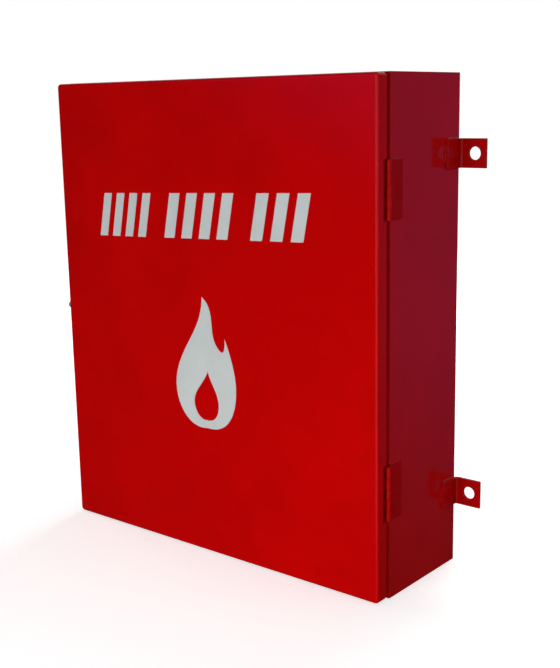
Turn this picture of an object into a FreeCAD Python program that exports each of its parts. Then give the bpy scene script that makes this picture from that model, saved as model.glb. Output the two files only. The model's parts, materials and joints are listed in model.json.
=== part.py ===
"""Wall-mounted steel fire hose box with a side-hung door, swing-hook latch, wall lugs and inside fittings.

Millimetres, +Z up. The origin is the middle of the four wall-bolt holes, on the plane of the wall.
The box stands out from the wall towards -Y, and +X is to the right of a person facing its door.
Each node is one physical piece, except that identical fasteners and film stripes share a node.
"""

import FreeCAD, Part
import math
import os

from FreeCAD import Vector

os.makedirs("parts", exist_ok=True)

# Box
WIDTH = 600.0
DEPTH = 200.0
HEIGHT = 700.0
SHEET = 1.5
BACK_BEND = 3.5            # outer radius of the folds between back and sides

# Door: a shallow pan that covers the whole front
DOOR_DEPTH = 20.0
DOOR_HEIGHT = 698.0
DOOR_CORNER = 6.0          # radius of the pan's four corners
DOOR_BEND = 4.0            # radius of the folds round the pan's face
SEAM_GAP = 8.0             # open groove between the door's edge and the body's edge

# Door frame: a folded strip that stands into the pan and carries the sealing face
NECK_INSET = 4.0           # from the box's outer face to the neck's outer face
NECK_HEIGHT = 18.0         # how far the neck stands in front of the body's edge
SEAL_FACE = 20.0           # width of the sealing face
FRAME_LAND = 15.0          # strip welded to the inside of the body

# Gasket
GASKET_WIDTH = 12.0
GASKET_EDGE = 5.0          # from the neck's outer face to the gasket's outer edge
GASKET_GAP = 0.3

# Hinges: welded 76 mm butt hinges of five knuckles
HINGE_LEVELS = {"upper": 204.0, "lower": -198.0}
HINGE_LENGTH = 76.0
HINGE_AXIS_X = WIDTH / 2 + 2.0
HINGE_AXIS_Y = -177.0
BARREL_RADIUS = 4.0
PIN_RADIUS = 2.0
LEAF = 2.0
BODY_LEAF_BACK = -146.0
DOOR_LEAF_FRONT = -196.0
KNUCKLES = 5
KNUCKLE_GAP = 0.3
FIXED_CLEARANCE = 0.02
RUNNING_CLEARANCE = 0.05
NOTCH_DEPTH = 7.0          # cut in the door's edge round each barrel
NOTCH_SLACK = 1.0

# Wall lugs: bent flat bar, welded to the sides
LUG_BAR = 4.0
LUG_WIDTH = 40.0
LUG_REACH = 42.5
LUG_LEG = 38.0
LUG_BEND = 5.0             # middle-line radius of the fold
LUG_HOLE_X = 325.0
LUG_HOLE_Z = 242.5
LUG_HOLE_RADIUS = 9.0

# Latch on the left side: a hook on a shouldered bolt, dropped over a headed stud on the door
LATCH_PIVOT_Y = -147.0
LATCH_STUD_Y = -189.0
LATCH_PLATE = 2.0
LATCH_PLATE_SIDE = 40.0
HOOK_THICKNESS = 4.0
HOOK_BOSS_RADIUS = 11.0
HOOK_HALF_WIDTH = 8.0
HOOK_SLACK = 0.4
STUD_RADIUS = 3.5
STUD_HEAD_RADIUS = 5.5
BOLT_RADIUS = 4.0
BOLT_HEAD_RADIUS = 7.0

# Inside fittings
PLATE = 2.0
SADDLE_X = -90.0
SADDLE_Z = 70.0
SADDLE_RADIUS = 75.0
SADDLE_DEPTH = 118.0
CLIP_X = 190.0
CLIP_LEVELS = (70.0, -110.0)
CLIP_INNER_RADIUS = 19.0
CLIP_WIDTH = 25.0
CLIP_STRAP = 1.5
SPANNER_X = 190.0
SPANNER_Z = 230.0
STUD_M6 = 3.0
NUT_M6_ACROSS = 10.0
NUT_M6_HEIGHT = 5.0

# Bottom drain holes
DRAIN_X = 200.0
DRAIN_Y = -40.0
DRAIN_RADIUS = 5.0

# Film markings on the door
FILM = 0.3
STRIPE_HEIGHT = 65.0
STRIPE_LEAN = 16.0
STRIPE_LEVEL = 159.0
STRIPE_TILT_DEG = 2.0
STRIPE_GROUPS = ((-217.0, -101.0, 4), (-78.0, 62.0, 4), (88.0, 197.0, 3))
STRIPE_FILL = 0.6          # share of each pitch that is film
FLAME_WIDTH = 119.0
FLAME_HEIGHT = 196.0
FLAME_X = -5.0
FLAME_FOOT = -154.0

HALF_WIDTH = WIDTH / 2
HALF_HEIGHT = HEIGHT / 2
DOOR_BACK = -DEPTH + DOOR_DEPTH
BODY_FRONT = DOOR_BACK + SEAM_GAP
SEAL_PLANE = BODY_FRONT - NECK_HEIGHT
DOOR_INNER = -DEPTH + SHEET
BACK_INNER = -SHEET
X_AXIS = Vector(1, 0, 0)
Y_AXIS = Vector(0, 1, 0)
Z_AXIS = Vector(0, 0, 1)


def save(name, *solids):
    """Writes one node: a single solid, or a group of separate solids."""
    shape = solids[0] if len(solids) == 1 else Part.makeCompound(list(solids))
    for solid in shape.Solids:
        if not solid.isValid() or solid.Volume <= 0:
            raise ValueError(name + " has a bad solid")
    shape.exportStep("parts/" + name + ".step")


def box(x0, x1, y0, y1, z0, z1):
    return Part.makeBox(x1 - x0, y1 - y0, z1 - z0, Vector(x0, y0, z0))


def rod(radius, start, end):
    """Cylinder between two points."""
    along = Vector(*end) - Vector(*start)
    return Part.makeCylinder(radius, along.Length, Vector(*start), along)


def one_solid(shape):
    """The single solid of a finished boolean, with its split faces merged."""
    shape = shape.removeSplitter()
    if len(shape.Solids) != 1:
        raise ValueError("expected one solid, found %d" % len(shape.Solids))
    return shape.Solids[0]


def edges_along(shape, direction):
    """Straight edges parallel to a direction."""
    found = []
    for edge in shape.Edges:
        if isinstance(edge.Curve, Part.Line) and edge.Curve.Direction.cross(direction).Length < 1e-6:
            found.append(edge)
    return found


def edges_in_plane(shape, normal, level):
    """Edges that lie wholly in the plane where point . normal = level."""
    found = []
    for edge in shape.Edges:
        middle = edge.valueAt((edge.FirstParameter + edge.LastParameter) / 2)
        points = [vertex.Point for vertex in edge.Vertexes] + [middle]
        if all(abs(point.dot(normal) - level) < 1e-6 for point in points):
            found.append(edge)
    return found


def rounded_block(x, z, y0, y1, corner, bend):
    """Block centred on the Y axis, with round corners and a rounded rim at its front, y0."""
    block = box(-x, x, y0, y1, -z, z)
    block = block.makeFillet(corner, edges_along(block, Y_AXIS))
    return block.makeFillet(bend, edges_in_plane(block, Y_AXIS, y0))


def window(x, z, y0, y1, border):
    """Flat ring of a given border width, centred on the Y axis; x and z are its outer half sizes."""
    outer = box(-x, x, y0, y1, -z, z)
    return outer.cut(box(-x + border, x - border, y0, y1, -z + border, z - border))


def bent_side(points, offset, bend):
    """Edges of one side of a folded strip: lines and arcs at a distance from its middle line."""
    edges = []
    start = None
    for i in range(len(points) - 1):
        a = Vector(*points[i], 0)
        b = Vector(*points[i + 1], 0)
        along = (b - a).normalize()
        normal = Vector(-along.y, along.x, 0)
        if start is None:
            start = a + normal * offset
        if i + 2 == len(points):
            edges.append(Part.LineSegment(start, b + normal * offset).toShape())
            break
        leaving = (Vector(*points[i + 2], 0) - b).normalize()
        leaving_normal = Vector(-leaving.y, leaving.x, 0)
        turn = math.atan2(along.cross(leaving).z, along.dot(leaving))
        reach = bend * math.tan(abs(turn) / 2)
        sign = math.copysign(1, turn)
        centre = b - along * reach + normal * bend * sign
        arc_start = b - along * reach + normal * offset
        arc_end = b + leaving * reach + leaving_normal * offset
        middle = centre + (b - centre).normalize() * (bend - sign * offset)
        edges.append(Part.LineSegment(start, arc_start).toShape())
        edges.append(Part.Arc(arc_start, middle, arc_end).toShape())
        start = arc_end
    return edges


def folded_strip(points, thickness, bend, z0, z1):
    """Strip folded from flat sheet. points is the middle line in X and Y, bend its fold radius."""
    left = bent_side(points, thickness / 2, bend)
    right = bent_side(points, -thickness / 2, bend)
    first = Part.LineSegment(left[0].firstVertex().Point, right[0].firstVertex().Point).toShape()
    last = Part.LineSegment(left[-1].lastVertex().Point, right[-1].lastVertex().Point).toShape()
    outline = Part.Wire(Part.__sortEdges__(left + right + [first, last]))
    strip = Part.Face(outline).extrude(Vector(0, 0, z1 - z0))
    strip.translate(Vector(0, 0, z0))
    return strip


def prism(points, depth_vector):
    """Solid drawn out from a closed outline of 3-D points."""
    outline = Part.makePolygon([Vector(*p) for p in points] + [Vector(*points[0])])
    return Part.Face(outline).extrude(depth_vector)


# ---------------------------------------------------------------- body

def make_body_wrap():
    """Back and both sides, folded from one sheet, with the latch bolt's hole on the left."""
    outer = box(-HALF_WIDTH, HALF_WIDTH, BODY_FRONT, 0, -HALF_HEIGHT, HALF_HEIGHT)
    back_edges = [e for e in edges_along(outer, Z_AXIS) if abs(e.firstVertex().Point.y) < 1e-6]
    outer = outer.makeFillet(BACK_BEND, back_edges)
    inside = HALF_WIDTH - SHEET
    inner = box(-inside, inside, BODY_FRONT - 1, BACK_INNER, -HALF_HEIGHT - 1, HALF_HEIGHT + 1)
    back_edges = [e for e in edges_along(inner, Z_AXIS) if e.firstVertex().Point.y > BODY_FRONT]
    inner = inner.makeFillet(BACK_BEND - SHEET, back_edges)
    hole = rod(BOLT_RADIUS + FIXED_CLEARANCE, (-HALF_WIDTH - 1, LATCH_PIVOT_Y, 0), (-inside + 1, LATCH_PIVOT_Y, 0))
    save("body_wrap", one_solid(outer.cut(inner).cut(hole)))


def make_end_panel(name, side):
    """Top (side 1) or bottom (side -1) sheet, with flanges folded inwards at the sides and back."""
    reach = HALF_WIDTH - SHEET
    flange = 15.0
    corner = 5.0
    z_out = HALF_HEIGHT
    z_in = z_out - SHEET
    panel = box(-reach, reach, BODY_FRONT, BACK_INNER, z_in, z_out)
    corners = [e for e in edges_along(panel, Z_AXIS) if e.firstVertex().Point.y > BODY_FRONT]
    panel = panel.makeFillet(corner, corners)
    strips = [
        box(-reach, -reach + SHEET, BODY_FRONT + FRAME_LAND + 3, BACK_INNER - corner - 1, z_out - flange, z_in),
        box(reach - SHEET, reach, BODY_FRONT + FRAME_LAND + 3, BACK_INNER - corner - 1, z_out - flange, z_in),
        box(-reach + corner + 1, reach - corner - 1, BACK_INNER - SHEET, BACK_INNER, z_out - flange, z_in),
    ]
    panel = panel.fuse(strips)
    if side < 0:
        for x in (-DRAIN_X, DRAIN_X):
            panel = panel.cut(rod(DRAIN_RADIUS, (x, DRAIN_Y, z_in - 1), (x, DRAIN_Y, z_out + 1)))
        panel = panel.mirror(Vector(0, 0, 0), Z_AXIS)
    save(name, one_solid(panel))


def make_door_frame():
    """Four folded strips, mitred at the corners: land, step, neck and sealing face."""
    x_land = HALF_WIDTH - SHEET
    z_land = HALF_HEIGHT - SHEET
    x_neck = HALF_WIDTH - NECK_INSET
    z_neck = HALF_HEIGHT - NECK_INSET
    step = BODY_FRONT + SHEET
    ring = window(x_land, z_land, BODY_FRONT, BODY_FRONT + FRAME_LAND, SHEET)
    ring = ring.fuse(window(x_land, z_land, BODY_FRONT, step, NECK_INSET))
    ring = ring.fuse(window(x_neck, z_neck, SEAL_PLANE, step, SHEET))
    ring = ring.fuse(window(x_neck, z_neck, SEAL_PLANE, SEAL_PLANE + SHEET, SEAL_FACE))
    y0 = SEAL_PLANE - 1
    depth = Vector(0, NECK_HEIGHT + FRAME_LAND + 2, 0)
    far_x = x_land + 1
    far_z = z_land + 1
    near_x = far_x - 60
    near_z = far_z - 60
    regions = {
        "left": [(-far_x, y0, -far_z), (-far_x, y0, far_z), (-near_x, y0, near_z), (-near_x, y0, -near_z)],
        "right": [(far_x, y0, -far_z), (far_x, y0, far_z), (near_x, y0, near_z), (near_x, y0, -near_z)],
        "top": [(-far_x, y0, far_z), (far_x, y0, far_z), (near_x, y0, near_z), (-near_x, y0, near_z)],
        "bottom": [(-far_x, y0, -far_z), (far_x, y0, -far_z), (near_x, y0, -near_z), (-near_x, y0, -near_z)],
    }
    for name, outline in regions.items():
        save("door_frame_" + name, one_solid(ring.common(prism(outline, depth))))


def make_wall_lugs():
    """Four bent bars: a leg welded to the side, and a tab flat on the wall with a bolt hole."""
    half = LUG_BAR / 2
    middle = [
        (HALF_WIDTH + half, -LUG_LEG),
        (HALF_WIDTH + half, -half),
        (HALF_WIDTH + LUG_REACH, -half),
    ]
    for level_name, level in (("upper", LUG_HOLE_Z), ("lower", -LUG_HOLE_Z)):
        lug = folded_strip(middle, LUG_BAR, LUG_BEND, level - LUG_WIDTH / 2, level + LUG_WIDTH / 2)
        lug = lug.cut(rod(LUG_HOLE_RADIUS, (LUG_HOLE_X, -LUG_BAR - 1, level), (LUG_HOLE_X, 1, level)))
        save("wall_lug_%s_right" % level_name, one_solid(lug))
        save("wall_lug_%s_left" % level_name, one_solid(lug.mirror(Vector(0, 0, 0), X_AXIS)))


# ---------------------------------------------------------------- hinges

def knuckle_spans(first):
    """Height ranges of every other knuckle, from the hinge's middle."""
    pitch = HINGE_LENGTH / KNUCKLES
    gap = KNUCKLE_GAP / 2
    spans = []
    for i in range(first, KNUCKLES, 2):
        low = -HINGE_LENGTH / 2 + i * pitch + (gap if i else 0)
        high = -HINGE_LENGTH / 2 + (i + 1) * pitch - (gap if i < KNUCKLES - 1 else 0)
        spans.append((low, high))
    return spans


def make_hinge_leaf(first, leaf_x0, plate_y, tongue_y, clearance, level):
    """Leaf plate with its knuckles. plate_y is the full-height plate, tongue_y the strips to the barrel."""
    half = HINGE_LENGTH / 2
    leaf = box(leaf_x0, leaf_x0 + LEAF, plate_y[0], plate_y[1], level - half, level + half)
    for low, high in knuckle_spans(first):
        barrel = rod(
            BARREL_RADIUS,
            (HINGE_AXIS_X, HINGE_AXIS_Y, level + low),
            (HINGE_AXIS_X, HINGE_AXIS_Y, level + high),
        )
        tongue = box(leaf_x0, leaf_x0 + LEAF, tongue_y[0], tongue_y[1], level + low, level + high)
        leaf = leaf.fuse([barrel, tongue])
    bore = rod(
        PIN_RADIUS + clearance,
        (HINGE_AXIS_X, HINGE_AXIS_Y, level - half - 1),
        (HINGE_AXIS_X, HINGE_AXIS_Y, level + half + 1),
    )
    return one_solid(leaf.cut(bore))


def make_hinge_pin(level):
    """Pin with a domed head above and a smaller peened end below the barrel."""
    half = HINGE_LENGTH / 2
    head = 1.2
    axis = (HINGE_AXIS_X, HINGE_AXIS_Y)
    pin = rod(PIN_RADIUS, (*axis, level - half - head / 2), (*axis, level + half + head / 2))
    top = Part.makeCone(3.0, 1.8, head, Vector(*axis, level + half))
    foot = Part.makeCone(2.6, 1.6, head, Vector(*axis, level - half), Vector(0, 0, -1))
    return one_solid(pin.fuse([top, foot]))


def make_hinges():
    for name, level in HINGE_LEVELS.items():
        body_leaf = make_hinge_leaf(
            0, HALF_WIDTH, (BODY_FRONT, BODY_LEAF_BACK), (HINGE_AXIS_Y, BODY_FRONT), FIXED_CLEARANCE, level
        )
        door_leaf = make_hinge_leaf(
            1,
            HALF_WIDTH - SHEET - LEAF,
            (DOOR_LEAF_FRONT, HINGE_AXIS_Y - BARREL_RADIUS - 1),
            (HINGE_AXIS_Y - BARREL_RADIUS - 1, HINGE_AXIS_Y),
            RUNNING_CLEARANCE,
            level,
        )
        save(name + "_hinge_body_leaf", body_leaf)
        save(name + "_hinge_door_leaf", door_leaf)
        save(name + "_hinge_pin", make_hinge_pin(level))


# ---------------------------------------------------------------- door

def make_door_pan():
    """Door sheet with its edges folded back, notched round both hinge barrels."""
    half_z = DOOR_HEIGHT / 2
    outer = rounded_block(HALF_WIDTH, half_z, -DEPTH, DOOR_BACK, DOOR_CORNER, DOOR_BEND)
    inner = rounded_block(
        HALF_WIDTH - SHEET, half_z - SHEET, DOOR_INNER, DOOR_BACK + 1, DOOR_CORNER - SHEET, DOOR_BEND - SHEET
    )
    pan = outer.cut(inner)
    for level in HINGE_LEVELS.values():
        half = HINGE_LENGTH / 2 + NOTCH_SLACK
        notch = box(HALF_WIDTH - 5, HALF_WIDTH + 1, DOOR_BACK - NOTCH_DEPTH, DOOR_BACK + 1, level - half, level + half)
        pan = pan.cut(notch)
    save("door_pan", one_solid(pan))


def make_door_stiffener():
    """Hat-section strip welded upright down the middle of the door's inside."""
    crown = 36.0
    brim = 15.0
    rise = 12.0
    slope = 6.0
    half_length = 300.0
    low = DOOR_INNER + SHEET / 2
    high = DOOR_INNER + rise - SHEET / 2
    middle = [
        (-crown / 2 - slope - brim, low),
        (-crown / 2 - slope, low),
        (-crown / 2, high),
        (crown / 2, high),
        (crown / 2 + slope, low),
        (crown / 2 + slope + brim, low),
    ]
    strip = folded_strip(middle, SHEET, 2.0, -half_length, half_length)
    save("door_stiffener", one_solid(strip))


def make_gasket():
    """Foam strip round the door's inside, against the frame's sealing face."""
    x = HALF_WIDTH - NECK_INSET - GASKET_EDGE
    z = HALF_HEIGHT - NECK_INSET - GASKET_EDGE
    save("door_gasket", one_solid(window(x, z, DOOR_INNER, SEAL_PLANE - GASKET_GAP, GASKET_WIDTH)))


# ---------------------------------------------------------------- latch

def make_latch_base():
    """Doubler plate, the shouldered pivot bolt and its nut inside the box."""
    half = LATCH_PLATE_SIDE / 2
    wall = -HALF_WIDTH
    plate = box(wall - LATCH_PLATE, wall, LATCH_PIVOT_Y - half, LATCH_PIVOT_Y + half, -half, half)
    plate = plate.makeFillet(4.0, edges_along(plate, X_AXIS))
    start = (wall - LATCH_PLATE - 1, LATCH_PIVOT_Y, 0)
    plate = plate.cut(rod(BOLT_RADIUS + FIXED_CLEARANCE, start, (wall + 1, LATCH_PIVOT_Y, 0)))
    save("latch_base_plate", one_solid(plate))

    head_inner = wall - LATCH_PLATE - HOOK_THICKNESS - 2 * HOOK_SLACK
    thread_end = wall + SHEET + 9.0
    head = Part.makeCylinder(BOLT_HEAD_RADIUS, 3.5, Vector(head_inner - 3.5, LATCH_PIVOT_Y, 0), X_AXIS)
    head = head.makeFillet(1.6, edges_in_plane(head, X_AXIS, head_inner - 3.5))
    shank = rod(BOLT_RADIUS, (head_inner, LATCH_PIVOT_Y, 0), (thread_end, LATCH_PIVOT_Y, 0))
    save("latch_pivot_bolt", one_solid(head.fuse(shank)))

    nut = hex_nut(13.0, 6.5, BOLT_RADIUS + FIXED_CLEARANCE, (wall + SHEET, LATCH_PIVOT_Y, 0), X_AXIS)
    save("latch_pivot_nut", nut)


def make_latch_hook():
    """Flat hook, hanging straight down at rest, with its notch open to the back."""
    reach = LATCH_PIVOT_Y - LATCH_STUD_Y
    x0 = -HALF_WIDTH - LATCH_PLATE - HOOK_SLACK - HOOK_THICKNESS
    x1 = x0 + HOOK_THICKNESS
    seat = STUD_RADIUS + HOOK_SLACK
    tip = reach + seat + 5.5
    half = HOOK_HALF_WIDTH
    centre = LATCH_PIVOT_Y
    hook = rod(HOOK_BOSS_RADIUS, (x0, centre, 0), (x1, centre, 0))
    strap = box(x0, x1, centre - half, centre + half, -tip, 0)
    strap = strap.makeFillet(4.5, [e for e in edges_along(strap, X_AXIS) if e.firstVertex().Point.z < -1])
    hook = hook.fuse(strap)
    flare = 2.0
    mouth = prism(
        [
            (x0 - 1, centre, -reach - seat),
            (x0 - 1, centre + half + 1, -reach - seat - 0.4),
            (x0 - 1, centre + half + 1, -reach + seat + flare),
            (x0 - 1, centre, -reach + seat),
        ],
        Vector(HOOK_THICKNESS + 2, 0, 0),
    )
    hook = hook.cut([rod(seat, (x0 - 1, centre, -reach), (x1 + 1, centre, -reach)), mouth])
    hook = hook.cut(rod(BOLT_RADIUS + RUNNING_CLEARANCE, (x0 - 1, centre, 0), (x1 + 1, centre, 0)))
    knob_z = -reach / 2
    rivet = 2.5
    hook = hook.cut(rod(rivet, (x0 - 1, centre, knob_z), (x1 + 1, centre, knob_z)))
    save("latch_hook", one_solid(hook))

    knob = Part.makeCylinder(6.0, 11.0, Vector(x0 - 11.0, centre, knob_z), X_AXIS)
    knob = knob.makeFillet(2.5, edges_in_plane(knob, X_AXIS, x0 - 11.0))
    knob = knob.fuse(rod(rivet, (x0, centre, knob_z), (x1, centre, knob_z)))
    save("latch_knob", one_solid(knob))


def make_latch_stud():
    """Headed stud welded to the door's left edge."""
    wall = -HALF_WIDTH
    head_inner = wall - LATCH_PLATE - HOOK_THICKNESS - 2 * HOOK_SLACK
    stud = rod(STUD_RADIUS, (wall, LATCH_STUD_Y, 0), (head_inner, LATCH_STUD_Y, 0))
    head = Part.makeCylinder(STUD_HEAD_RADIUS, 1.6, Vector(head_inner - 1.6, LATCH_STUD_Y, 0), X_AXIS)
    head = head.makeFillet(0.8, edges_in_plane(head, X_AXIS, head_inner - 1.6))
    save("latch_stud", one_solid(stud.fuse(head)))


# ---------------------------------------------------------------- inside fittings

def hex_nut(across, height, bore, base, direction):
    """Six-sided nut standing on base along a direction."""
    radius = across / math.sqrt(3)
    corners = []
    for i in range(6):
        angle = math.radians(60 * i)
        corners.append((radius * math.cos(angle), radius * math.sin(angle), 0))
    nut = prism(corners, Vector(0, 0, height))
    chamfer = Part.makeCone(across * 0.5 + 0.9 * height, across * 0.5 - 0.1 * height, height)
    nut = nut.common(chamfer).cut(Part.makeCylinder(bore, height))
    nut.Placement = FreeCAD.Placement(Vector(*base), FreeCAD.Rotation(Z_AXIS, direction))
    return one_solid(nut)


def back_fasteners(name, places, plate):
    """M6 studs welded to the back sheet at (x, z) places, with their nuts over a plate of given thickness."""
    length = plate + NUT_M6_HEIGHT + 3.0
    studs = []
    nuts = []
    for x, z in places:
        studs.append(rod(STUD_M6, (x, BACK_INNER, z), (x, BACK_INNER - length, z)))
        nuts.append(
            hex_nut(NUT_M6_ACROSS, NUT_M6_HEIGHT, STUD_M6 + FIXED_CLEARANCE, (x, BACK_INNER - plate, z), -Y_AXIS)
        )
    save(name + "_studs", *studs)
    save(name + "_nuts", *nuts)


def bolt_holes(shape, places, plate):
    for x, z in places:
        hole = rod(STUD_M6 + FIXED_CLEARANCE, (x, BACK_INNER + 1, z), (x, BACK_INNER - plate - 1, z))
        shape = shape.cut(hole)
    return shape


def half_ring(outer, inner, y0, y1):
    """Upper half of a ring about the saddle's middle line."""
    ring = rod(outer, (SADDLE_X, y0, SADDLE_Z), (SADDLE_X, y1, SADDLE_Z))
    ring = ring.cut(rod(inner, (SADDLE_X, y0, SADDLE_Z), (SADDLE_X, y1, SADDLE_Z)))
    upper = box(SADDLE_X - outer - 1, SADDLE_X + outer + 1, y0 - 1, y1 + 1, SADDLE_Z, SADDLE_Z + outer + 1)
    return ring.common(upper)


def make_hose_saddle():
    """Arched shelf that the folded hose hangs over, its front lip and its back plate."""
    back = BACK_INNER - PLATE
    front = BACK_INNER - SADDLE_DEPTH
    arch = half_ring(SADDLE_RADIUS, SADDLE_RADIUS - PLATE, front + PLATE, back)
    save("saddle_arch", one_solid(arch))

    lip = half_ring(SADDLE_RADIUS + 24, SADDLE_RADIUS - PLATE, front, front + PLATE)
    lip_foot = edges_along(lip, Y_AXIS)
    outer_foot = [e for e in lip_foot if abs(e.firstVertex().Point.x - SADDLE_X) > SADDLE_RADIUS + 20]
    lip = lip.makeFillet(8.0, outer_foot)
    save("saddle_front_lip", one_solid(lip))

    half = SADDLE_RADIUS + 24
    low = SADDLE_Z - 16
    high = SADDLE_Z + half
    plate = box(SADDLE_X - half, SADDLE_X + half, back, BACK_INNER, low, high)
    plate = plate.makeFillet(12.0, edges_along(plate, Y_AXIS))
    inset = 14.0
    places = []
    for x in (SADDLE_X - half + inset, SADDLE_X + half - inset):
        for z in (low + inset, high - inset):
            places.append((x, z))
    save("saddle_back_plate", one_solid(bolt_holes(plate, places, PLATE)))
    back_fasteners("saddle", places, PLATE)


def make_nozzle_clips():
    """Two open spring clips, one above the other, each held by one stud and nut."""
    names = ("upper", "lower")
    radius = CLIP_INNER_RADIUS + CLIP_STRAP / 2
    rise = 12.0
    mouth = 50.0
    centre_y = BACK_INNER - CLIP_STRAP - rise - radius
    places = [(CLIP_X, level) for level in CLIP_LEVELS]
    for name, level in zip(names, CLIP_LEVELS):
        low = level - CLIP_WIDTH / 2
        high = level + CLIP_WIDTH / 2
        ring = Part.makeCylinder(radius + CLIP_STRAP / 2, CLIP_WIDTH, Vector(CLIP_X, centre_y, low))
        ring = ring.cut(Part.makeCylinder(radius - CLIP_STRAP / 2, CLIP_WIDTH, Vector(CLIP_X, centre_y, low)))
        far = 60.0
        spread = far * math.tan(math.radians(mouth))
        gap = prism(
            [(CLIP_X, centre_y, low - 1), (CLIP_X - spread, centre_y - far, low - 1),
             (CLIP_X + spread, centre_y - far, low - 1)],
            Vector(0, 0, CLIP_WIDTH + 2),
        )
        neck_half = 9.0
        throat = box(CLIP_X - neck_half, CLIP_X + neck_half, centre_y, BACK_INNER, low - 1, high + 1)
        jaws = ring.cut([gap, throat])
        foot = box(CLIP_X - neck_half, CLIP_X + neck_half, BACK_INNER - CLIP_STRAP, BACK_INNER, low, high)
        ring_back = centre_y + math.sqrt(radius ** 2 - neck_half ** 2)
        legs = []
        for side in (-1, 1):
            inner = CLIP_X + side * (neck_half - CLIP_STRAP)
            outer = CLIP_X + side * (neck_half + 0.6)
            legs.append(box(min(inner, outer), max(inner, outer), ring_back - 1.2, BACK_INNER, low, high))
            angle = math.radians(mouth)
            tip_x = CLIP_X + side * radius * math.sin(angle)
            tip_y = centre_y - radius * math.cos(angle)
            flare = prism(
                [(tip_x - side * 0.9, tip_y - 0.3, low), (tip_x + side * 0.9, tip_y + 0.3, low),
                 (tip_x + side * 8.2, tip_y - 8.0, low), (tip_x + side * 6.6, tip_y - 8.8, low)],
                Vector(0, 0, CLIP_WIDTH),
            )
            legs.append(flare)
        clip = jaws.fuse(legs + [foot])
        clip = bolt_holes(clip, [(CLIP_X, level)], CLIP_STRAP)
        save("nozzle_clip_" + name, one_solid(clip))
    back_fasteners("clip", places, CLIP_STRAP)


def make_spanner_hook():
    """J-shaped flat hook for the coupling spanner, held by two studs."""
    thickness = 3.0
    width = 25.0
    half = thickness / 2
    top = SPANNER_Z + 45.0
    foot = SPANNER_Z - 12.0
    out = -26.0
    middle = [
        (-top, BACK_INNER - half),
        (-foot, BACK_INNER - half),
        (-foot, BACK_INNER + out),
        (-foot - 22.0, BACK_INNER + out),
    ]
    hook = folded_strip(middle, thickness, 4.0, -width / 2, width / 2)
    hook.rotate(Vector(0, 0, 0), Y_AXIS, 90)
    hook.translate(Vector(SPANNER_X, 0, 0))
    places = [(SPANNER_X, top - 10.0), (SPANNER_X, top - 28.0)]
    save("spanner_hook", one_solid(bolt_holes(hook, places, thickness)))
    back_fasteners("hook", places, thickness)


# ---------------------------------------------------------------- markings

def tilted_film(solid):
    solid.rotate(Vector(0, -DEPTH, STRIPE_LEVEL), Y_AXIS, -STRIPE_TILT_DEG)
    return solid


def make_stripes():
    """Three groups of leaning white film stripes across the upper door."""
    stripes = []
    front = -DEPTH - FILM
    low = STRIPE_LEVEL - STRIPE_HEIGHT / 2
    high = STRIPE_LEVEL + STRIPE_HEIGHT / 2
    for left, right, count in STRIPE_GROUPS:
        span = right - left - STRIPE_LEAN
        pitch = span / (count - 1 + STRIPE_FILL)
        width = pitch * STRIPE_FILL
        for i in range(count):
            x = left + i * pitch
            outline = [
                (x, front, low),
                (x + width, front, low),
                (x + width + STRIPE_LEAN, front, high),
                (x + STRIPE_LEAN, front, high),
            ]
            stripes.append(tilted_film(prism(outline, Vector(0, FILM, 0))))
    save("stripe_decals", *stripes)


def spline(points):
    curve = Part.BSplineCurve()
    curve.interpolate([Vector(x, 0, z) for x, z in points])
    return curve.toShape()


def flame_face(curves):
    """Face inside smooth curves that join end to end; points are shares of the flame's width and height."""
    edges = [spline([(x * FLAME_WIDTH, z * FLAME_HEIGHT) for x, z in points]) for points in curves]
    return Part.Face(Part.Wire(Part.__sortEdges__(edges)))


def make_flame():
    """Flame sign cut from film: a tall tongue, a small side tongue, and an open core at its foot."""
    tip = (0.02, 1.0)
    side_tip = (0.36, 0.70)
    foot = (0.0, 0.0)
    outer = [
        [tip, (-0.08, 0.80), (-0.36, 0.55), (-0.50, 0.30), (-0.37, 0.08), foot],
        [foot, (0.37, 0.08), (0.50, 0.30), (0.47, 0.50), side_tip],
        [side_tip, (0.29, 0.60), (0.20, 0.66), (0.16, 0.80), tip],
    ]
    core_tip = (0.05, 0.44)
    core_foot = (0.0, 0.06)
    core = [
        [core_tip, (-0.08, 0.33), (-0.20, 0.21), (-0.15, 0.10), core_foot],
        [core_foot, (0.16, 0.10), (0.20, 0.22), (0.12, 0.34), core_tip],
    ]
    thickness = Vector(0, FILM, 0)
    film = flame_face(outer).extrude(thickness).cut(flame_face(core).extrude(thickness))
    film.translate(Vector(FLAME_X, -DEPTH - FILM, FLAME_FOOT))
    film.rotate(Vector(FLAME_X, -DEPTH, FLAME_FOOT + FLAME_HEIGHT / 2), Y_AXIS, -STRIPE_TILT_DEG)
    save("flame_decal", one_solid(film))


def main():
    make_body_wrap()
    make_end_panel("top_panel", 1)
    make_end_panel("bottom_panel", -1)
    make_door_frame()
    make_wall_lugs()
    make_hinges()
    make_door_pan()
    make_door_stiffener()
    make_gasket()
    make_latch_base()
    make_latch_hook()
    make_latch_stud()
    make_hose_saddle()
    make_nozzle_clips()
    make_spanner_hook()
    make_stripes()
    make_flame()


main()
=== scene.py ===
"""Looks of the wall-mounted steel fire hose box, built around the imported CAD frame.

The CAD nodes keep their places. Here their edges are softened, every surface gets a procedural
finish, and the weld seams that hold the lugs, hinges and latch plate are added.
Lengths are metres in the row frame: -Y out of the door, +Z up, the wall plane at y = 0.
"""

import json
import math
import random

import bpy
from mathutils import Matrix, Vector


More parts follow.
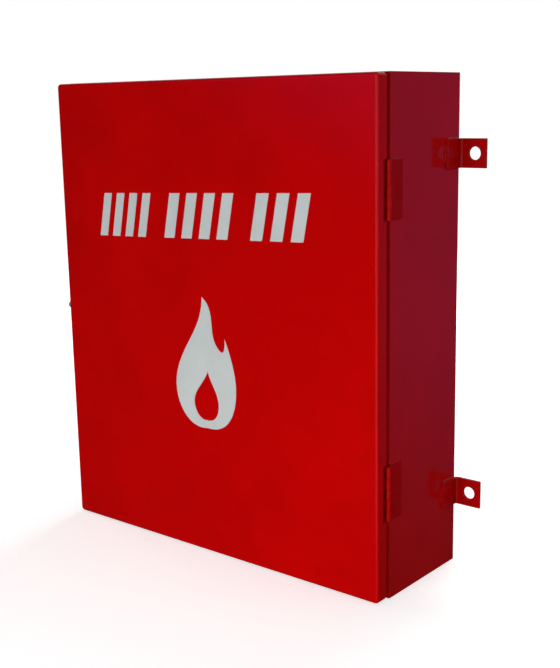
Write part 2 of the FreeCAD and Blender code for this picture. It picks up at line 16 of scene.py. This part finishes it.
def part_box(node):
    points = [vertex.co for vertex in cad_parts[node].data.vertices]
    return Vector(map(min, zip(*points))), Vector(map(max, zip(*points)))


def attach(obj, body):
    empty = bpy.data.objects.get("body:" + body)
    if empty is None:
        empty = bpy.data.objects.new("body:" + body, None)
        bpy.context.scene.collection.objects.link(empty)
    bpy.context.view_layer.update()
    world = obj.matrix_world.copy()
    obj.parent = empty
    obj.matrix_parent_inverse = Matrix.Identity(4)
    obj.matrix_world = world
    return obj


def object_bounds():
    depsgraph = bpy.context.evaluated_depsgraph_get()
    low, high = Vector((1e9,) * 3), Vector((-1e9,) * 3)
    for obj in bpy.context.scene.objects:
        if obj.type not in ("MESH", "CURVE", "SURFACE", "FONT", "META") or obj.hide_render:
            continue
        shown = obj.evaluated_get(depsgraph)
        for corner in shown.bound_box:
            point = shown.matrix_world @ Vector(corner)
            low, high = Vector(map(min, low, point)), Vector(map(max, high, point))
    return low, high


MM = 0.001

# Camera: bearing and height above the horizon of the viewing direction, in degrees
VIEW_AZIMUTH = 39.35
VIEW_ELEVATION = 11.82
VIEW_ROLL = -1.07
VIEW_PLACE = Vector((1.0717, -1.3374, 0.3124))
LENS_MM = 59.18
SENSOR_MM = 36.0

# Paint, film and metal colours, linear
DOOR_RED = (0.56, 0.0002, 0.0005)
BODY_RED = (0.52, 0.0010, 0.0020)
# Hinge red is the body's red paint made darker: painted shade on the hinge barrel and leaves
HINGE_RED_PAINTED_SHADE = (0.42, 0.0010, 0.0018)
# Lug red is the door's red paint made darker: painted shade for the box's shadow on the wall lugs
LUG_RED_PAINTED_SHADE = (0.47, 0.0004, 0.0008)
INSIDE_RED = (0.54, 0.0015, 0.0025)
FILM_WHITE = (0.66, 0.70, 0.69)
FILM_SPECK = (0.42, 0.38, 0.36)
FILM_RIM = (0.40, 0.30, 0.29)
ZINC = (0.62, 0.63, 0.65)
SPRING = (0.50, 0.50, 0.51)
RUBBED_METAL = (0.80, 0.80, 0.80)
FOAM_BLACK = (0.018, 0.018, 0.019)

# Depths of the surface relief
PAINT_PEEL = 0.02 * MM
FILM_BUBBLE = 0.1 * MM
FILM_GRAIN = 0.02 * MM
DRAW_LINES = 0.02 * MM
FOAM_PITS = 0.2 * MM

# Softened edges of the CAD nodes, by the start of the node's name
EDGE_WIDTHS = {
    "wall_lug": 0.5 * MM,
    "latch_hook": 0.4 * MM,
    "latch_base": 0.35 * MM,
    "saddle": 0.35 * MM,
    "spanner": 0.4 * MM,
}
SHEET_EDGE = 0.25 * MM
EDGE_ANGLE = math.radians(32)
SAME_POINT = 0.001 * MM

# Weld seams: half the box's width, the beads' sections, and how far the runs stop short of an end
BOX_SIDE = 0.3
BEAD_STEP = 1.1 * MM
BEAD_SIDES = 9
BEAD_POOL = 3.2 * MM
BEAD_TAPER = 2.4 * MM
LUG_WELD = 2.0 * MM
LUG_FRONT_WELD = 1.2 * MM
LUG_FRONT_GAP = 1 * MM
LUG_BACK_GAP = 5 * MM
LUG_CORNER_GAP = 8 * MM
HINGE_WELD = 1.5 * MM
HINGE_FRONT_GAP = 11 * MM
HINGE_BACK_GAP = 2 * MM
STITCH_WELD = 1.3 * MM
STITCH_LENGTH = 16 * MM
STITCH_PLACES = (0.12, 0.66)
PLATE_WELD = 1.2 * MM
PLATE_CORNER_GAP = 12 * MM

# Floor and surroundings
FLOOR_RADIUS = 14.0
FLOOR_CORNERS = 96
FLOOR_GLOW = 0.62
GLOW_NEAR = 0.7
GLOW_FAR = 2.6
ROOM_BEHIND = (0.07, 0.055, 0.14)
ROOM_DARK = (0.02, 0.02, 0.02)
ROOM_FILL = (0.06, 0.06, 0.06)
# Soft glows that only reflections see: direction, cosine where the glow starts, colour at its middle
GLOWS = (
    ((0.28, -0.90, 0.33), 0.55, (0.95, 0.88, 1.00)),
    ((-0.42, -0.85, 0.30), 0.905, (0.30, 0.20, 0.80)),
    ((0.93, -0.20, 0.30), 0.80, (0.30, 0.29, 0.31)),
    ((-0.20, 0.75, 0.63), 0.60, (0.50, 0.50, 0.52)),
    ((-0.85, 0.45, 0.25), 0.72, (0.60, 0.59, 0.62)),
)
# Softboxes: name, place, what they face, width and height, watts
SOFTBOXES = (
    ("key", (0.12, -2.8, 0.04), (0.0, -0.2, 0.0), (1.2, 0.74), 35),
    ("right_fill", (2.3, 0.55, 0.08), (0.2, -0.1, -0.05), (1.5, 0.7), 11),
    ("gap_fill", (2.2, -1.15, 0.05), (0.3, -0.17, 0.0), (0.6, 0.7), 5.5),
    ("low_bounce", (0.35, -0.9, -0.34), (0.1, -0.2, -0.1), (1.0, 0.35), 2.5),
    ("back_fill", (-0.5, 2.7, 1.1), (0, 0, 0), (1.6, 1.2), 55),
    ("left_fill", (-2.6, -0.2, 0.6), (0, 0, 0), (1.4, 1.4), 16),
    ("top_fill", (0.2, 0.2, 2.2), (0, 0, 0), (1.6, 1.6), 12),
)


# ---------------------------------------------------------------- node trees

def scaled(colour, share):
    return tuple(channel * share for channel in colour)


class Nodes:
    """A node tree under construction: adds nodes and joins their sockets."""

    def __init__(self, tree):
        self.tree = tree
        self.tree.nodes.clear()

    def feed(self, socket, value):
        """Links a socket to the input, or sets the input to a value. A colour gets its alpha here."""
        if isinstance(value, bpy.types.NodeSocket):
            self.tree.links.new(value, socket)
        elif socket.type == "RGBA" and len(value) == 3:
            socket.default_value = (*value, 1.0)
        else:
            socket.default_value = value

    def add(self, kind, inputs=None, **settings):
        node = self.tree.nodes.new(kind)
        for key, value in settings.items():
            setattr(node, key, value)
        for key, value in (inputs or {}).items():
            self.feed(node.inputs[key], value)
        return node

    def remap(self, value, low, high, to_low=0.0, to_high=1.0, shape="LINEAR"):
        inputs = {"Value": value, "From Min": low, "From Max": high, "To Min": to_low, "To Max": to_high}
        return self.add("ShaderNodeMapRange", inputs, interpolation_type=shape).outputs[0]

    def soft_step(self, value, low, high):
        return self.remap(value, low, high, shape="SMOOTHSTEP")

    def mix(self, share, a, b):
        """Colour a where share is 0 and b where it is 1."""
        return self.add("ShaderNodeMix", {0: share, 6: a, 7: b}, data_type="RGBA").outputs[2]

    def maths(self, operation, a, b):
        return self.add("ShaderNodeMath", {0: a, 1: b}, operation=operation).outputs[0]

    def vector_maths(self, operation, a, b=(0, 0, 0)):
        return self.add("ShaderNodeVectorMath", {0: a, 1: b}, operation=operation).outputs["Value"]


# ---------------------------------------------------------------- materials

class Finish(Nodes):
    """A material under construction."""

    def __init__(self, name):
        self.material = bpy.data.materials.new(name)
        self.material.use_nodes = True
        super().__init__(self.material.node_tree)
        self.place = self.add("ShaderNodeTexCoord").outputs["Object"]

    def noise(self, per_metre, detail=2.0, roughness=0.5, stretch=(1, 1, 1)):
        """Noise with a given number of cells to the metre."""
        place = self.add("ShaderNodeMapping", {"Vector": self.place, "Scale": stretch}).outputs[0]
        inputs = {"Vector": place, "Scale": per_metre, "Detail": detail, "Roughness": roughness}
        return self.add("ShaderNodeTexNoise", inputs).outputs["Fac"]

    def bump(self, height, distance, strength=1.0, normal=None):
        inputs = {"Height": height, "Distance": distance, "Strength": strength}
        if normal is not None:
            inputs["Normal"] = normal
        return self.add("ShaderNodeBump", inputs).outputs[0]

    def edge_share(self, radius):
        """1 on convex edges and 0 on flats, from how far a rounded normal leans off the true one."""
        rounded = self.add("ShaderNodeBevel", {"Radius": radius}, samples=4).outputs[0]
        true = self.add("ShaderNodeNewGeometry").outputs["True Normal"]
        return self.remap(self.vector_maths("DOT_PRODUCT", rounded, true), 1.0, 0.85)

    def surface(self, **inputs):
        """Ends the material in one Principled shader. Input names use _ for a space."""
        named = {key.replace("_", " "): value for key, value in inputs.items()}
        shader = self.add("ShaderNodeBsdfPrincipled", named)
        self.add("ShaderNodeOutputMaterial", {"Surface": shader.outputs[0]})
        return self.material


def enamel(name, colour, roughness=0.10, shine=0.25, coat=0.12, wave=0.0002):
    """Sprayed gloss enamel on sheet steel: orange peel, slow waves in the sheet, faint mottling."""
    f = Finish(name)
    mottle = f.noise(9.0, detail=5.0, roughness=0.65)
    cloud = f.noise(1.6, detail=2.0)
    lighter = (colour[0] * 1.05, colour[1], colour[2])
    base = f.mix(f.remap(mottle, 0.36, 0.64), scaled(colour, 0.90), lighter)
    base = f.mix(f.remap(cloud, 0.35, 0.65, 0.0, 0.5), base, colour)
    patchy = f.remap(f.noise(70.0, detail=3.0), 0.45, 0.7, 0.0, 0.5)
    rubbed = f.maths("MULTIPLY", f.edge_share(0.9 * MM), patchy)
    base = f.mix(rubbed, base, scaled(colour, 0.6))
    grain = f.noise(160.0, detail=3.0, roughness=0.6)
    gloss = f.remap(grain, 0.3, 0.7, roughness, roughness + 0.06)
    waves = f.bump(f.noise(3.4, detail=1.0), wave)
    peel = f.bump(f.noise(420.0, detail=2.0), PAINT_PEEL, 0.5, waves)
    return f.surface(
        Base_Color=base,
        Roughness=gloss,
        Specular_IOR_Level=shine,
        Coat_Weight=coat,
        Coat_Roughness=0.05,
        Normal=peel,
        Coat_Normal=waves,
    )


def film(name):
    """Satin self-adhesive film: a little uneven in tone, with pinhead bubbles and grubby rims."""
    f = Finish(name)
    tone = f.noise(14.0, detail=4.0, roughness=0.6)
    base = f.mix(f.remap(tone, 0.35, 0.65), scaled(FILM_WHITE, 0.93), FILM_WHITE)
    specks = f.remap(f.noise(210.0), 0.66, 0.74, 0.0, 0.25)
    base = f.mix(specks, base, FILM_SPECK)
    rim = f.maths("MULTIPLY", f.edge_share(1.2 * MM), 0.5)
    base = f.mix(rim, base, FILM_RIM)
    bubbles = f.bump(f.remap(f.noise(85.0, detail=1.0), 0.62, 0.8), FILM_BUBBLE, 0.5)
    grain = f.bump(f.noise(900.0, detail=1.0), FILM_GRAIN, 0.3, bubbles)
    return f.surface(Base_Color=base, Roughness=f.remap(tone, 0.3, 0.7, 0.36, 0.50), Normal=grain)


def plated(name, colour, roughness=0.30, brush=(1, 1, 1)):
    """Bright plated or spring steel: cloudy plating, fine draw lines, dull rubbed rims."""
    f = Finish(name)
    cloud = f.noise(60.0, detail=4.0, roughness=0.6)
    warm = (colour[0] * 1.02, colour[1] * 0.97, colour[2] * 0.86)
    base = f.mix(f.remap(cloud, 0.35, 0.65, 0.0, 0.8), colour, warm)
    base = f.mix(f.maths("MULTIPLY", f.edge_share(0.5 * MM), 0.35), base, RUBBED_METAL)
    lines = f.noise(700.0, stretch=brush)
    return f.surface(
        Base_Color=base,
        Metallic=1.0,
        Roughness=f.remap(f.maths("ADD", cloud, lines), 0.7, 1.3, roughness, roughness + 0.18),
        Normal=f.bump(lines, DRAW_LINES, 0.6),
    )


def foam(name):
    """Closed-cell black foam: open-looking skin with small pits."""
    f = Finish(name)
    pits = f.noise(900.0, detail=3.0, roughness=0.7)
    base = f.mix(f.remap(pits, 0.35, 0.65), FOAM_BLACK, scaled(FOAM_BLACK, 2.6))
    return f.surface(
        Base_Color=base,
        Roughness=f.remap(pits, 0.3, 0.7, 0.72, 0.92),
        Specular_IOR_Level=0.25,
        Normal=f.bump(pits, FOAM_PITS, 0.8),
    )


def make_materials():
    return {
        "door_red": enamel("door_red", DOOR_RED),
        "body_red": enamel("body_red", BODY_RED, roughness=0.08, shine=0.5, coat=0.35),
        "hinge_red": enamel("hinge_red", HINGE_RED_PAINTED_SHADE, roughness=0.16, shine=0.12, coat=0.0, wave=0.00005),
        "lug_red": enamel("lug_red", LUG_RED_PAINTED_SHADE, roughness=0.16, shine=0.25, coat=0.0, wave=0.00005),
        "inside_red": enamel("inside_red", INSIDE_RED, roughness=0.30, coat=0.0, wave=0.0001),
        "latch_steel": plated("latch_steel", ZINC, 0.32, brush=(1.0, 1.0, 0.06)),
        "zinc_steel": plated("zinc_steel", ZINC, 0.26),
        "spring_steel": plated("spring_steel", SPRING, 0.24, brush=(1.0, 1.0, 0.05)),
        "gasket_foam": foam("gasket_foam"),
        "film_white": film("film_white"),
    }


# ---------------------------------------------------------------- CAD nodes

def soften(node, width):
    """Rounds the sharp edges of a CAD node, with modifiers only."""
    weld = node.modifiers.new("weld", "WELD")
    weld.merge_threshold = SAME_POINT
    bevel = node.modifiers.new("edges", "BEVEL")
    bevel.width = width
    bevel.segments = 2
    bevel.limit_method = "ANGLE"
    bevel.angle_limit = EDGE_ANGLE
    bevel.use_clamp_overlap = False
    shading = node.modifiers.new("shading", "WEIGHTED_NORMAL")
    shading.weight = 100


def dress_frame(materials):
    """Gives every CAD node its slot's material, and soft edges to all but film, nuts and studs."""
    slots = {row["node"]: row["material_slot"] for row in frame["record"]["subparts"]}
    for name, node in frame["nodes"].items():
        slot = slots[name]
        node.data.materials.clear()
        node.data.materials.append(materials[slot])
        if slot == "film_white" or name.endswith(("_nuts", "_studs")):
            continue
        widths = [width for start, width in EDGE_WIDTHS.items() if name.startswith(start)]
        soften(node, widths[0] if widths else SHEET_EDGE)


# ---------------------------------------------------------------- weld seams

def new_mesh(name, vertices, faces, material, body):
    mesh = bpy.data.meshes.new(name)
    mesh.from_pydata([tuple(v) for v in vertices], [], faces)
    mesh.polygons.foreach_set("use_smooth", [True] * len(mesh.polygons))
    mesh.validate()
    mesh.materials.append(material)
    piece = bpy.data.objects.new(name, mesh)
    bpy.context.scene.collection.objects.link(piece)
    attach(piece, body)


def weld_bead(start, end, outward, radius, seed):
    """Vertices and faces of a rippled fillet weld from start to end, bulging along outward."""
    start = Vector(start)
    end = Vector(end)
    outward = Vector(outward).normalized()
    along = (end - start).normalized()
    across = along.cross(outward)
    length = (end - start).length
    rings = max(6, int(length / BEAD_STEP))
    draw = random.Random(seed)
    phase = draw.uniform(0, 6.28)
    vertices = []
    for i in range(rings + 1):
        share = i / rings
        place = share * length
        ripple = abs(math.sin(math.pi * place / BEAD_POOL + phase))
        taper = min(1.0, 0.25 + min(share, 1 - share) * length / BEAD_TAPER)
        size = radius * taper * (0.82 + 0.26 * ripple + draw.uniform(-0.05, 0.05))
        drift = across * draw.uniform(-0.10, 0.10) * radius
        centre = start + along * place + drift
        for k in range(BEAD_SIDES):
            angle = 2 * math.pi * k / BEAD_SIDES
            side = across * math.cos(angle) * size * 1.15
            vertices.append(centre + side + outward * math.sin(angle) * size * 0.8)
    faces = []
    for i in range(rings):
        for k in range(BEAD_SIDES):
            a = i * BEAD_SIDES + k
            b = i * BEAD_SIDES + (k + 1) % BEAD_SIDES
            faces.append((a, b, b + BEAD_SIDES, a + BEAD_SIDES))
    faces.append(tuple(reversed(range(BEAD_SIDES))))
    faces.append(tuple(rings * BEAD_SIDES + k for k in range(BEAD_SIDES)))
    return vertices, faces


def weld_piece(name, runs, material):
    """One piece of several weld runs, each (start, end, outward, radius)."""
    vertices = []
    faces = []
    for i, run in enumerate(runs):
        more, their_faces = weld_bead(*run, seed=name + str(i))
        offset = len(vertices)
        vertices += more
        faces += [tuple(index + offset for index in face) for face in their_faces]
    new_mesh(name, vertices, faces, material, "cabinet")


def lug_welds(materials):
    """Fillets along the top, bottom and front of each lug's leg."""
    for level in ("upper", "lower"):
        for side, sign in (("left", -1), ("right", 1)):
            low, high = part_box("wall_lug_%s_%s" % (level, side))
            wall = BOX_SIDE * sign
            front = low.y + LUG_FRONT_GAP
            back = high.y - LUG_BACK_GAP
            runs = []
            for z, lean in ((high.z, 1), (low.z, -1)):
                runs.append(((wall, front, z), (wall, back, z), (sign, 0, lean), LUG_WELD))
            lower_end = (wall, low.y, low.z + LUG_CORNER_GAP)
            upper_end = (wall, low.y, high.z - LUG_CORNER_GAP)
            runs.append((lower_end, upper_end, (sign, -1, 0), LUG_FRONT_WELD))
            weld_piece("weld_lug_%s_%s" % (level, side), runs, materials["lug_red"])


def hinge_welds(materials):
    """Fillets above and below each body leaf, and two short stitches along its back edge."""
    for level in ("upper", "lower"):
        low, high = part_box(level + "_hinge_body_leaf")
        front = low.y + HINGE_FRONT_GAP
        back = high.y - HINGE_BACK_GAP
        runs = []
        for z, lean in ((high.z, 1), (low.z, -1)):
            runs.append(((BOX_SIDE, front, z), (BOX_SIDE, back, z), (1, 0, lean), HINGE_WELD))
        for share in STITCH_PLACES:
            start = low.z + share * (high.z - low.z)
            end = start + STITCH_LENGTH
            runs.append(((BOX_SIDE, high.y, start), (BOX_SIDE, high.y, end), (1, 1, 0), STITCH_WELD))
        weld_piece("weld_hinge_" + level, runs, materials["hinge_red"])


def latch_plate_welds(materials):
    """Short stitches on all four sides of the latch's doubler plate."""
    low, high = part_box("latch_base_plate")
    wall = -BOX_SIDE
    gap = PLATE_CORNER_GAP
    runs = []
    for z, lean in ((low.z, -1), (high.z, 1)):
        runs.append(((wall, low.y + gap, z), (wall, high.y - gap, z), (-1, 0, lean), PLATE_WELD))
    for y, lean in ((low.y, -1), (high.y, 1)):
        runs.append(((wall, y, low.z + gap), (wall, y, high.z - gap), (-1, lean, 0), PLATE_WELD))
    weld_piece("weld_latch_plate", runs, materials["body_red"])


# ---------------------------------------------------------------- stage, lights, camera

def make_floor():
    """Pale round floor under the box, lighter towards its rim so that no horizon shows."""
    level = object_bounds()[0].z
    corners = []
    for i in range(FLOOR_CORNERS):
        angle = 2 * math.pi * i / FLOOR_CORNERS
        corners.append((FLOOR_RADIUS * math.cos(angle), FLOOR_RADIUS * math.sin(angle), level))
    mesh = bpy.data.meshes.new("floor")
    mesh.from_pydata(corners, [], [tuple(range(FLOOR_CORNERS))])
    floor = bpy.data.objects.new("floor", mesh)
    bpy.context.scene.collection.objects.link(floor)
    f = Finish("floor_pale")
    distance = f.vector_maths("LENGTH", f.place)
    mesh.materials.append(
        f.surface(
            Base_Color=f.mix(f.noise(0.8), (0.80, 0.80, 0.80), (0.83, 0.83, 0.83)),
            Roughness=0.9,
            Specular_IOR_Level=0.1,
            Emission_Color=(1, 1, 1),
            Emission_Strength=f.remap(distance, GLOW_NEAR, GLOW_FAR, FLOOR_GLOW, 1.0),
        )
    )
    floor.visible_glossy = False
    floor.visible_diffuse = False


def make_world():
    """White surroundings for the eye, a dark room for light, and a dim studio for reflections."""
    world = bpy.data.worlds.new("room")
    bpy.context.scene.world = world
    world.use_nodes = True
    w = Nodes(world.node_tree)
    direction = w.add("ShaderNodeTexCoord").outputs["Generated"]
    parts = w.add("ShaderNodeSeparateXYZ", {0: direction}).outputs
    behind = w.maths("MULTIPLY", w.soft_step(parts["X"], 0.1, 0.4), w.soft_step(parts["Y"], 0.1, 0.6))
    level = w.maths("MULTIPLY", w.soft_step(parts["Z"], -0.45, -0.15), w.soft_step(parts["Z"], 0.20, 0.04))
    room = w.mix(w.maths("MULTIPLY", behind, level), ROOM_DARK, ROOM_BEHIND)
    for towards, start, colour in GLOWS:
        lean = w.vector_maths("DOT_PRODUCT", direction, Vector(towards).normalized())
        room = w.mix(w.soft_step(lean, start, 1.0), room, colour)
    path = w.add("ShaderNodeLightPath").outputs
    seen = w.mix(path["Is Glossy Ray"], ROOM_FILL, room)
    seen = w.mix(path["Is Camera Ray"], seen, (1, 1, 1))
    backdrop = w.add("ShaderNodeBackground", {"Color": seen}).outputs[0]
    w.add("ShaderNodeOutputWorld", {"Surface": backdrop})


def make_lights():
    """Softboxes before the door, to its right and on the other sides, unseen by eye and reflections."""
    for name, place, target, size, watts in SOFTBOXES:
        light = bpy.data.lights.new(name, "AREA")
        light.shape = "RECTANGLE"
        light.size, light.size_y = size
        light.energy = watts
        lamp = bpy.data.objects.new(name, light)
        bpy.context.scene.collection.objects.link(lamp)
        lamp.location = place
        lamp.rotation_euler = (Vector(target) - Vector(place)).to_track_quat("-Z", "Y").to_euler()
        lamp.visible_camera = False
        lamp.visible_glossy = False


def make_camera():
    camera = bpy.data.cameras.new("camera")
    camera.lens = LENS_MM
    camera.sensor_width = SENSOR_MM
    eye = bpy.data.objects.new("camera", camera)
    bpy.context.scene.collection.objects.link(eye)
    azimuth, elevation, roll = (math.radians(angle) for angle in (VIEW_AZIMUTH, VIEW_ELEVATION, VIEW_ROLL))
    bearing = Vector((math.sin(azimuth), -math.cos(azimuth), 0))
    back = bearing * math.cos(elevation) + Vector((0, 0, math.sin(elevation)))
    level_right = Vector((math.cos(azimuth), math.sin(azimuth), 0))
    level_up = back.cross(level_right)
    right = math.cos(roll) * level_right + math.sin(roll) * level_up
    up = back.cross(right)
    eye.matrix_world = Matrix.Translation(VIEW_PLACE) @ Matrix((right, up, back)).transposed().to_4x4()
    bpy.context.scene.camera = eye


with open("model.json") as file:
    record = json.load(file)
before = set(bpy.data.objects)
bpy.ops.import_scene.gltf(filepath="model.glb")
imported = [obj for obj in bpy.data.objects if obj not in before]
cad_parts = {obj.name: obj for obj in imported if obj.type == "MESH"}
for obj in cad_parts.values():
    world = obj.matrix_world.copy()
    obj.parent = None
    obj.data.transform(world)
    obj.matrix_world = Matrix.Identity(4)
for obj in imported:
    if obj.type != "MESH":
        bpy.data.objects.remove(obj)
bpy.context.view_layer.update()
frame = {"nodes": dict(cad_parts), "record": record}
make_camera()
bpy.context.scene.view_settings.view_transform = "Standard"
materials = make_materials()
dress_frame(materials)
lug_welds(materials)
hinge_welds(materials)
latch_plate_welds(materials)
make_floor()
make_world()
make_lights()
